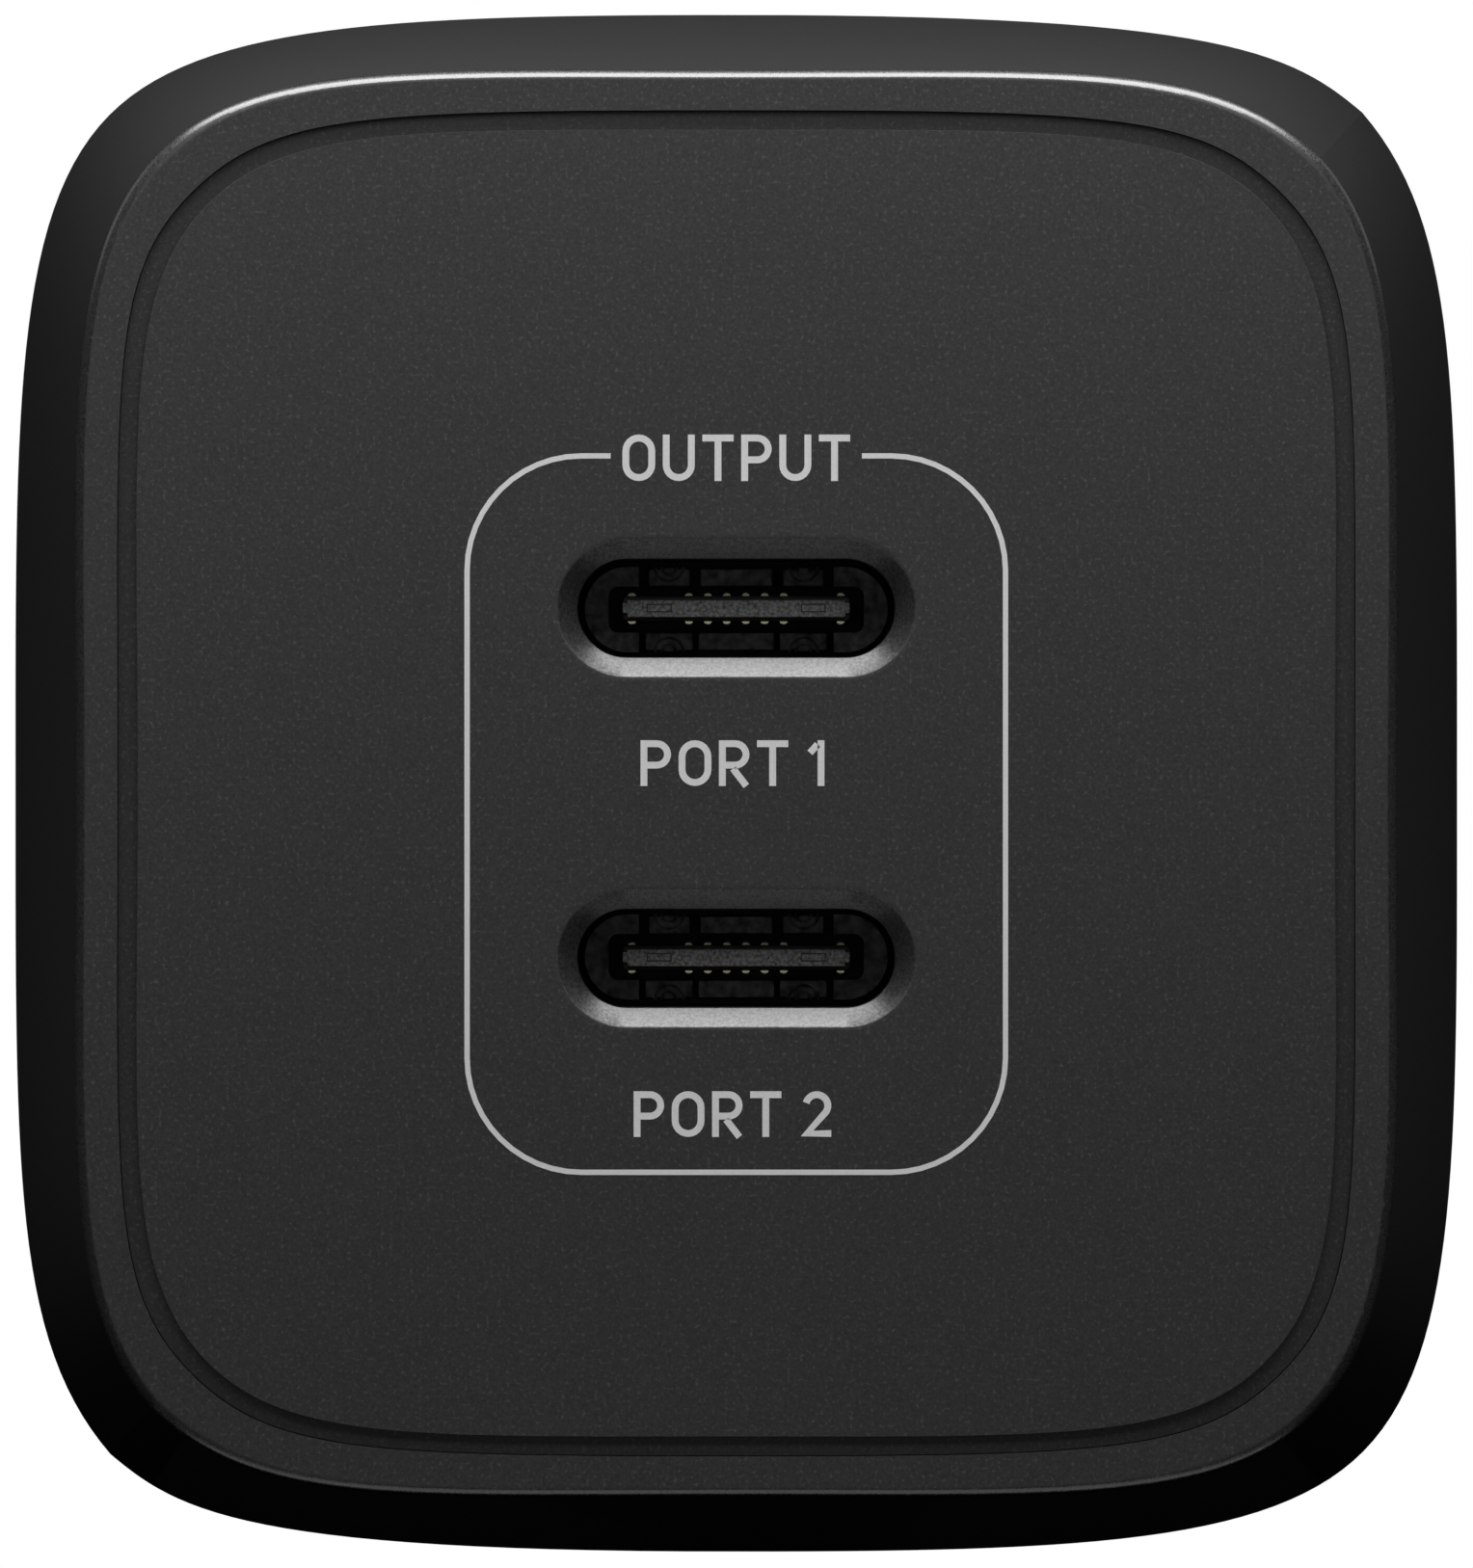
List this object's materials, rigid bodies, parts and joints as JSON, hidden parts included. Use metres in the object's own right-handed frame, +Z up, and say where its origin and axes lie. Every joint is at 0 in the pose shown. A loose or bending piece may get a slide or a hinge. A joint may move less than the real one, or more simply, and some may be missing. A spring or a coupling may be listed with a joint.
{
  "type": "usb wall charger",
  "caption": "Compact cube wall charger with a tapered soft-cornered shell, a flush face with stacked USB-C ports and a folding mains plug.",
  "frame": {"origin": "middle of the flat back face, which lies against the wall outlet", "axes": "+Z up, +X to the right as seen from the front, -Y out of the face with the ports, +Y into the wall"},
  "size_m": [0.0394, 0.044, 0.042],
  "materials": {
    "shell": "fine speckled matte grain, moulded",
    "rotor": "matte moulded plastic",
    "blade": "nickel-plated brass, bright",
    "steel": "zinc-plated steel",
    "dark_steel": "dark plated steel",
    "bronze": "phosphor bronze spring strip",
    "gold": "gold-plated contacts",
    "black": "black glass-filled plastic",
    "grey_plastic": "grey glass-filled plastic",
    "board": "green solder mask",
    "ferrite": "dull grey ferrite",
    "copper": "enamelled copper wire",
    "tape": "yellow insulating tape and film case",
    "capacitor": "dark plastic sleeve",
    "aluminium": "plain aluminium",
    "ceramic": "blue coated ceramic disc",
    "film": "thin insulating film",
    "chip": "black moulded package"
  },
  "bodies": {
    "charger": {"housing": "shell", "front_panel": "shell", "back_cover": "shell", "rotor_retainer": "grey_plastic", "retainer_screw_left": "steel", "retainer_screw_right": "steel", "contact_spring_left": "bronze", "contact_spring_right": "bronze", "detent_spring": "steel", "output_board": "board", "main_board": "board", "input_board": "board", "board_link": "black", "insulation_barrier": "film", "heat_spreader_left": "aluminium", "heat_spreader_right": "aluminium", "buck_inductor_left": "ferrite", "buck_inductor_right": "ferrite", "output_capacitor_left": "aluminium", "output_capacitor_right": "aluminium", "charge_controller": "chip", "buck_controller": "chip", "transformer_core_lower": "ferrite", "transformer_core_upper": "ferrite", "transformer_bobbin": "black", "transformer_winding": "tape", "choke_core": "ferrite", "choke_winding_front": "copper", "choke_winding_back": "copper", "bulk_capacitor_left": "capacitor", "bulk_capacitor_middle": "capacitor", "bulk_capacitor_right": "capacitor", "filter_capacitor": "tape", "safety_capacitor": "ceramic", "fuse": "black", "thermistor": "ceramic", "bridge_rectifier": "chip", "power_switch": "chip", "rectifier_switch": "chip", "optocoupler": "chip", "upper_port_shell": "dark_steel", "upper_port_tongue": "black", "upper_port_latch_plate": "steel", "upper_port_contacts_upper": "gold", "upper_port_contacts_lower": "gold", "lower_port_shell": "dark_steel", "lower_port_tongue": "black", "lower_port_latch_plate": "steel", "lower_port_contacts_upper": "gold", "lower_port_contacts_lower": "gold"},
    "plug": {"plug_rotor": "rotor", "plug_blade_left": "blade", "plug_blade_right": "blade"}
  },
  "joints": [
    {"name": "plug_fold", "type": "hinge", "parent": "charger", "child": "plug", "pos_m": [0, -0.0035, 0.008], "axis": [1, 0, 0], "range_deg": [0, 90]}
  ]
}
